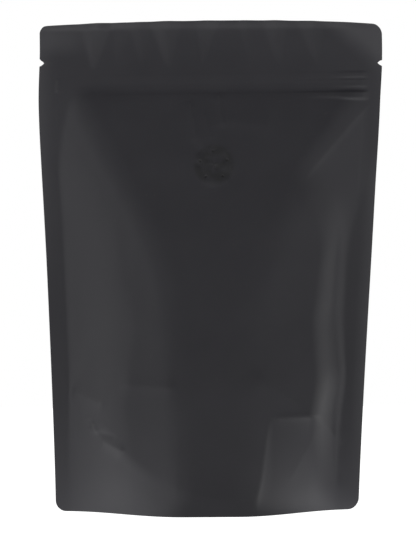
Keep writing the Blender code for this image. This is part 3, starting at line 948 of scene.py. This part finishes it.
def make_film():
    made = bpy.data.materials.new("matt_black_film")
    made.use_nodes = True
    tree = made.node_tree
    shader = tree.nodes["Principled BSDF"]
    grain = group_node(tree, grain_group, Tooth=3200.0, Cloud=60.0)
    rub = group_node(tree, rub_group, Start=0.10, Full=1.0, Patches=60.0).outputs["Rub"]
    dust = group_node(tree, dust_group, Specks=1100.0, Scuffs=38.0)
    cloud, tooth = grain.outputs["Cloudiness"], grain.outputs["Grain"]
    colour = blend_colours(tree, FILM_DARK, FILM_LIGHT, cloud)
    # Painted shade: a blotchy round patch over the valve darkens the film's colour.
    painted_shade = group_node(tree, valve_painted_shade_group, Radius=0.0094, Patches=260.0).outputs["Worn"]
    colour = blend_colours(tree, colour, PAINTED_SHADE_FILM, scaled(tree, painted_shade, 0.9))
    colour = blend_colours(tree, colour, RUBBED_FILM, scaled(tree, rub, 0.35))
    colour = blend_colours(tree, colour, DUST_COLOUR, scaled(tree, dust.outputs["Dust"], 0.25))
    tree.links.new(colour, shader.inputs["Base Color"])
    rough = scaled(tree, cloud, 0.05, FILM_ROUGHNESS)
    rough = calc(tree, "SUBTRACT", rough, scaled(tree, rub, 0.03))
    rough = calc(tree, "ADD", rough, scaled(tree, dust.outputs["Scuff"], 0.04))
    tree.links.new(calc(tree, "ADD", rough, scaled(tree, tooth, 0.03)), shader.inputs["Roughness"])
    bump = add_node(tree, "ShaderNodeBump", Strength=0.25, Distance=FILM_TOOTH, Height=tooth)
    tree.links.new(bump.outputs["Normal"], shader.inputs["Normal"])
    return made


film = make_film()
print("material:", film.name, len(film.node_tree.nodes), "nodes")

# %% Cut edge and valve plastic


def make_plain(name, dark, light, roughness, tooth_size):
    """A quieter finish: cloudy colour, uneven gloss, fine tooth and a little dust."""
    made = bpy.data.materials.new(name)
    made.use_nodes = True
    tree = made.node_tree
    shader = tree.nodes["Principled BSDF"]
    grain = group_node(tree, grain_group, Tooth=tooth_size, Cloud=140.0)
    dust = group_node(tree, dust_group, Specks=1400.0, Scuffs=60.0)
    colour = blend_colours(tree, (*dark, 1), (*light, 1), grain.outputs["Cloudiness"])
    colour = blend_colours(tree, colour, DUST_COLOUR, scaled(tree, dust.outputs["Dust"], 0.3))
    tree.links.new(colour, shader.inputs["Base Color"])
    rough = scaled(tree, grain.outputs["Cloudiness"], 0.08, roughness)
    tree.links.new(rough, shader.inputs["Roughness"])
    tooth = grain.outputs["Grain"]
    bump = add_node(tree, "ShaderNodeBump", Strength=0.3, Distance=PLAIN_TOOTH, Height=tooth)
    tree.links.new(bump.outputs["Normal"], shader.inputs["Normal"])
    return made


cut_edge = make_plain("laminate_cut_edge", (0.020, 0.020, 0.021), (0.045, 0.045, 0.046), 0.45, 5200.0)
plastic = make_plain("valve_plastic", (0.011, 0.011, 0.011), (0.016, 0.016, 0.016), 0.36, 2600.0)
print("materials:", cut_edge.name, plastic.name)

# %% [markdown]
# ## Putting it together
#
# Each sheet gets the film's thickness and its finish. The panels and the base film stand for the CAD
# pouch, and the valve body for the CAD valve, and all of them ride on the one body there is.

# %% Finish and hand each piece to the frame
for piece in (front, back, base):
    thicken(piece)
    piece.data.materials.append(film)
    piece.data.materials.append(cut_edge)
    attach(piece, "root")
    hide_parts("pouch")
valve.data.materials.append(plastic)
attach(valve, "root")
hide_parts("valve")
print("pieces:", [piece.name for piece in (front, back, base, valve)])

# %% [markdown]
# ## Studio
#
# A black matt object shows form only by what it reflects. It stands on a white floor in a pale room
# whose ceiling is darker than its walls, so facets that tilt back go dark and facets that tilt down
# pick up the floor. The floor glows unevenly, and most close to the pouch, because its reflection is
# what draws the foot. Large soft boxes left and right draw the side facets, the left one stronger,
# and a third, weak one on the right picks out the edge of the side seal.

# %% White floor
FLOOR_HALF, FLOOR_BACK = 0.5, 0.28  # half its size, and how far its middle lies behind the pouch
FLOOR_SEEN = 1.2  # how brightly the camera sees it
# How brightly the floor glows, as a share, against x in metres.
GLOW = (
    (-0.24, 0.34), (-0.14, 0.40), (-0.07, 0.53), (-0.035, 0.44), (-0.01, 0.20),
    (0.025, 0.20), (0.062, 0.62), (0.095, 0.30), (0.13, 0.20), (0.24, 0.46),
)
GLOW_SPAN = 0.5  # length of x that the shares cover
GLOW_AHEAD, GLOW_CLOSE = (-0.085, 2.0), (-0.035, 2.7)  # y in metres, and full strength there


def grey_ramp(tree, along, stops):
    """A ramp of greys; each stop is a position from 0 to 1 and a brightness."""
    made = add_node(tree, "ShaderNodeValToRGB", Fac=along)
    elements = made.color_ramp.elements
    while len(elements) < len(stops):
        elements.new(0.5)
    for element, (position, grey) in zip(elements, stops):
        element.position = position
        element.color = (grey, grey, grey, 1)
    return made


def make_floor():
    mesh = bpy.data.meshes.new("floor")
    bm = bmesh.new()
    bmesh.ops.create_grid(bm, x_segments=1, y_segments=1, size=FLOOR_HALF)
    bmesh.ops.translate(bm, verts=bm.verts[:], vec=(0, FLOOR_BACK, 0))
    bm.to_mesh(mesh)
    bm.free()
    made = bpy.data.objects.new("floor", mesh)
    bpy.context.scene.collection.objects.link(made)
    white = bpy.data.materials.new("floor_white")
    white.use_nodes = True
    tree = white.node_tree
    shader = tree.nodes["Principled BSDF"]
    shader.inputs["Base Color"].default_value = (0.1, 0.1, 0.1, 1)
    shader.inputs["Emission Color"].default_value = (1, 1, 1, 1)
    shader.inputs["Roughness"].default_value = 0.9
    shader.inputs["Specular IOR Level"].default_value = 0.0
    seen = add_node(tree, "ShaderNodeLightPath").outputs["Is Camera Ray"]
    place = add_node(tree, "ShaderNodeTexCoord").outputs["Object"]
    axes = add_node(tree, "ShaderNodeSeparateXYZ", Vector=place).outputs
    stops = [(0.5 + x / GLOW_SPAN, share) for x, share in GLOW]
    spread = grey_ramp(tree, scaled(tree, axes["X"], 1 / GLOW_SPAN, 0.5), stops)
    spread.color_ramp.interpolation = "EASE"
    (y0, weak), (y1, strong) = GLOW_AHEAD, GLOW_CLOSE
    smooth = {"interpolation_type": "SMOOTHSTEP"}
    near = add_node(tree, "ShaderNodeMapRange", smooth, i0=axes["Y"], i1=y0, i2=y1, i3=weak, i4=strong)
    lit = calc(tree, "MULTIPLY", spread.outputs["Color"], near.outputs["Result"])
    glow = add_node(tree, "ShaderNodeMix", i0=seen, i2=lit, i3=FLOOR_SEEN)
    tree.links.new(glow.outputs[0], shader.inputs["Emission Strength"])
    mesh.materials.append(white)
    return made


floor = make_floor()
print("floor", [round(v, 2) for v in floor.dimensions])

# %% Soft boxes
# Place, aim and size in metres, and power in watts.
SOFT_BOXES = {
    "left": ((-1.0, -0.45, 0.35), (0, 0, 0.12), (1.1, 0.9), 1.7),
    "right": ((1.0, -0.45, 0.35), (0, 0, 0.12), (1.1, 0.9), 0.65),
    "rim": ((1.0, -0.05, 0.15), (0, 0, 0.1), (0.8, 0.6), 0.3),
}


def soft_box(name, place, aim, size, power):
    lamp = bpy.data.lights.new(name, "AREA")
    lamp.shape = "RECTANGLE"
    lamp.size, lamp.size_y = size
    lamp.energy = power
    made = bpy.data.objects.new(name, lamp)
    made.location = place
    made.rotation_euler = (Vector(aim) - Vector(place)).to_track_quat("-Z", "Y").to_euler()
    bpy.context.scene.collection.objects.link(made)
    return made


boxes = [soft_box(name, *values) for name, values in SOFT_BOXES.items()]
print("soft boxes:", [box.name for box in boxes])

# %% Room
# How bright the room is, from straight down (0) by the horizon (0.5) to straight up (1).
ROOM = ((0.22, 1.9), (0.38, 0.61), (0.50, 0.56), (0.65, 0.47), (0.775, 0.37), (1.0, 0.16))


def make_room():
    world = bpy.data.worlds.new("studio")
    world.use_nodes = True
    tree = world.node_tree
    direction = add_node(tree, "ShaderNodeTexCoord").outputs["Generated"]
    up = add_node(tree, "ShaderNodeSeparateXYZ", Vector=direction).outputs["Z"]
    shade = grey_ramp(tree, scaled(tree, up, 0.5, 0.5), ROOM)
    seen = add_node(tree, "ShaderNodeLightPath").outputs["Is Camera Ray"]
    colour = blend_colours(tree, shade.outputs["Color"], (1, 1, 1, 1), seen)
    tree.links.new(colour, tree.nodes["Background"].inputs["Color"])
    return world


bpy.context.scene.world = make_room()
bpy.context.scene.view_settings.view_transform = "Standard"
print("room:", bpy.context.scene.world.name)

# %% [markdown]
# ## Camera
#
# A long lens a metre away keeps the sides of the pouch straight, as a catalogue picture does. The
# camera is level with the middle of the pouch and a hair off square.

# %% Camera
LENS, SENSOR = 150.7, 36  # millimetres
CAMERA_PLACE = (-0.0015, -1.05, 0.1133)
CAMERA_TILT = math.radians(0.36)
camera_data = bpy.data.cameras.new("camera")
camera_data.sensor_fit = "AUTO"
camera_data.sensor_width = SENSOR
camera_data.lens = LENS
camera = bpy.data.objects.new("camera", camera_data)
camera.location = CAMERA_PLACE
camera.rotation_euler = (math.radians(90), CAMERA_TILT, 0)
bpy.context.scene.collection.objects.link(camera)
bpy.context.scene.camera = camera
print("lens", camera_data.lens, "mm")
